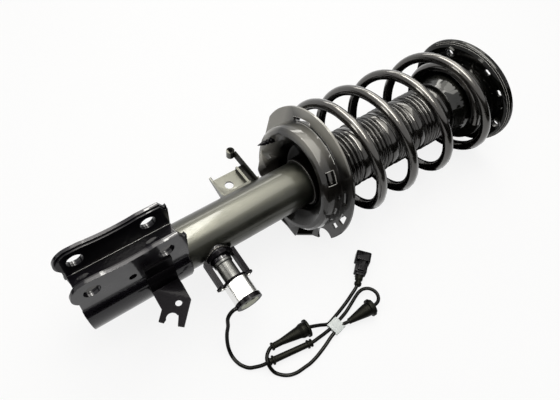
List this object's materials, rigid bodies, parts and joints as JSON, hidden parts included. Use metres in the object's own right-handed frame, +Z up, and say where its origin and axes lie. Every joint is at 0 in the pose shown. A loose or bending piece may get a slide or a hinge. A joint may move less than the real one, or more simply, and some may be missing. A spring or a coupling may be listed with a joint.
{
  "type": "suspension strut assembly",
  "caption": "Front strut with coil spring, dust boot, tilted top mount plate, knuckle bracket, line brackets and an electrically controlled damping valve with its lead.",
  "frame": {"origin": "middle of the lower knuckle bolt, halfway between the ears", "axes": "+X along the strut to the top mount, +Y along the knuckle bolts, +Z up out of the open side of the knuckle bracket"},
  "size_m": [0.5915, 0.2553, 0.1558],
  "materials": {
    "black_paint": "gloss black paint",
    "steel": "machined steel",
    "chrome": "hard chrome",
    "bright_can": "bright plated shell",
    "rubber": "moulded rubber",
    "foam": "cellular polyurethane",
    "cable_jacket": "smooth cable jacket",
    "black_plastic": "moulded plastic",
    "white_tape": "cloth tape"
  },
  "bodies": {
    "strut": {"strut_tube": "black_paint", "base_cap": "black_paint", "base_valve": "steel", "reservoir_tube": "steel", "pressure_tube": "steel", "rod_guide": "steel", "rod_seal": "rubber", "knuckle_bracket": "black_paint", "bracket_channel": "black_paint", "hose_bracket": "black_paint", "sensor_bracket": "black_paint", "valve_boss": "black_paint", "valve_body": "steel", "valve_guard": "black_paint", "valve_flange": "black_paint", "guard_screws": "steel", "valve_can": "bright_can", "valve_cap": "black_plastic", "valve_end_disc": "bright_can", "lower_spring_seat": "black_paint", "lower_spring_pad": "rubber", "pad_push_pin": "black_plastic", "coil_spring": "black_paint", "valve_cable": "cable_jacket", "cable_sleeve": "rubber", "cable_grommet": "rubber", "cable_boot": "rubber", "cable_tape": "white_tape", "cable_clip": "rubber", "connector_body": "black_plastic", "connector_collar": "black_plastic"},
    "seat": {"upper_spring_seat": "black_paint", "upper_spring_pad": "rubber", "dust_boot": "rubber", "bearing_lower_race": "steel", "bearing_balls": "steel"},
    "mount": {"piston_rod": "chrome", "piston": "steel", "piston_band": "black_plastic", "piston_nut": "steel", "rebound_stop": "rubber", "bump_stop_cup": "black_paint", "bump_stop": "foam", "mount_sleeve": "steel", "mount_rubber": "rubber", "top_plate": "black_paint", "weld_nuts": "black_paint", "bearing_upper_race": "steel", "sleeve_washers": "steel", "rod_nut": "steel"}
  },
  "joints": [
    {"name": "compression", "type": "slide", "parent": "strut", "child": "seat", "axis": [-1, 0, 0], "range_m": [0, 0.12], "stiffness_N_per_m": 28000, "deforming": ["coil_spring", "dust_boot"]},
    {"name": "steering", "type": "hinge", "parent": "seat", "child": "mount", "pos_m": [0.528, 0, -0.05], "axis": [1, 0, 0], "range_deg": [-40, 40]}
  ]
}
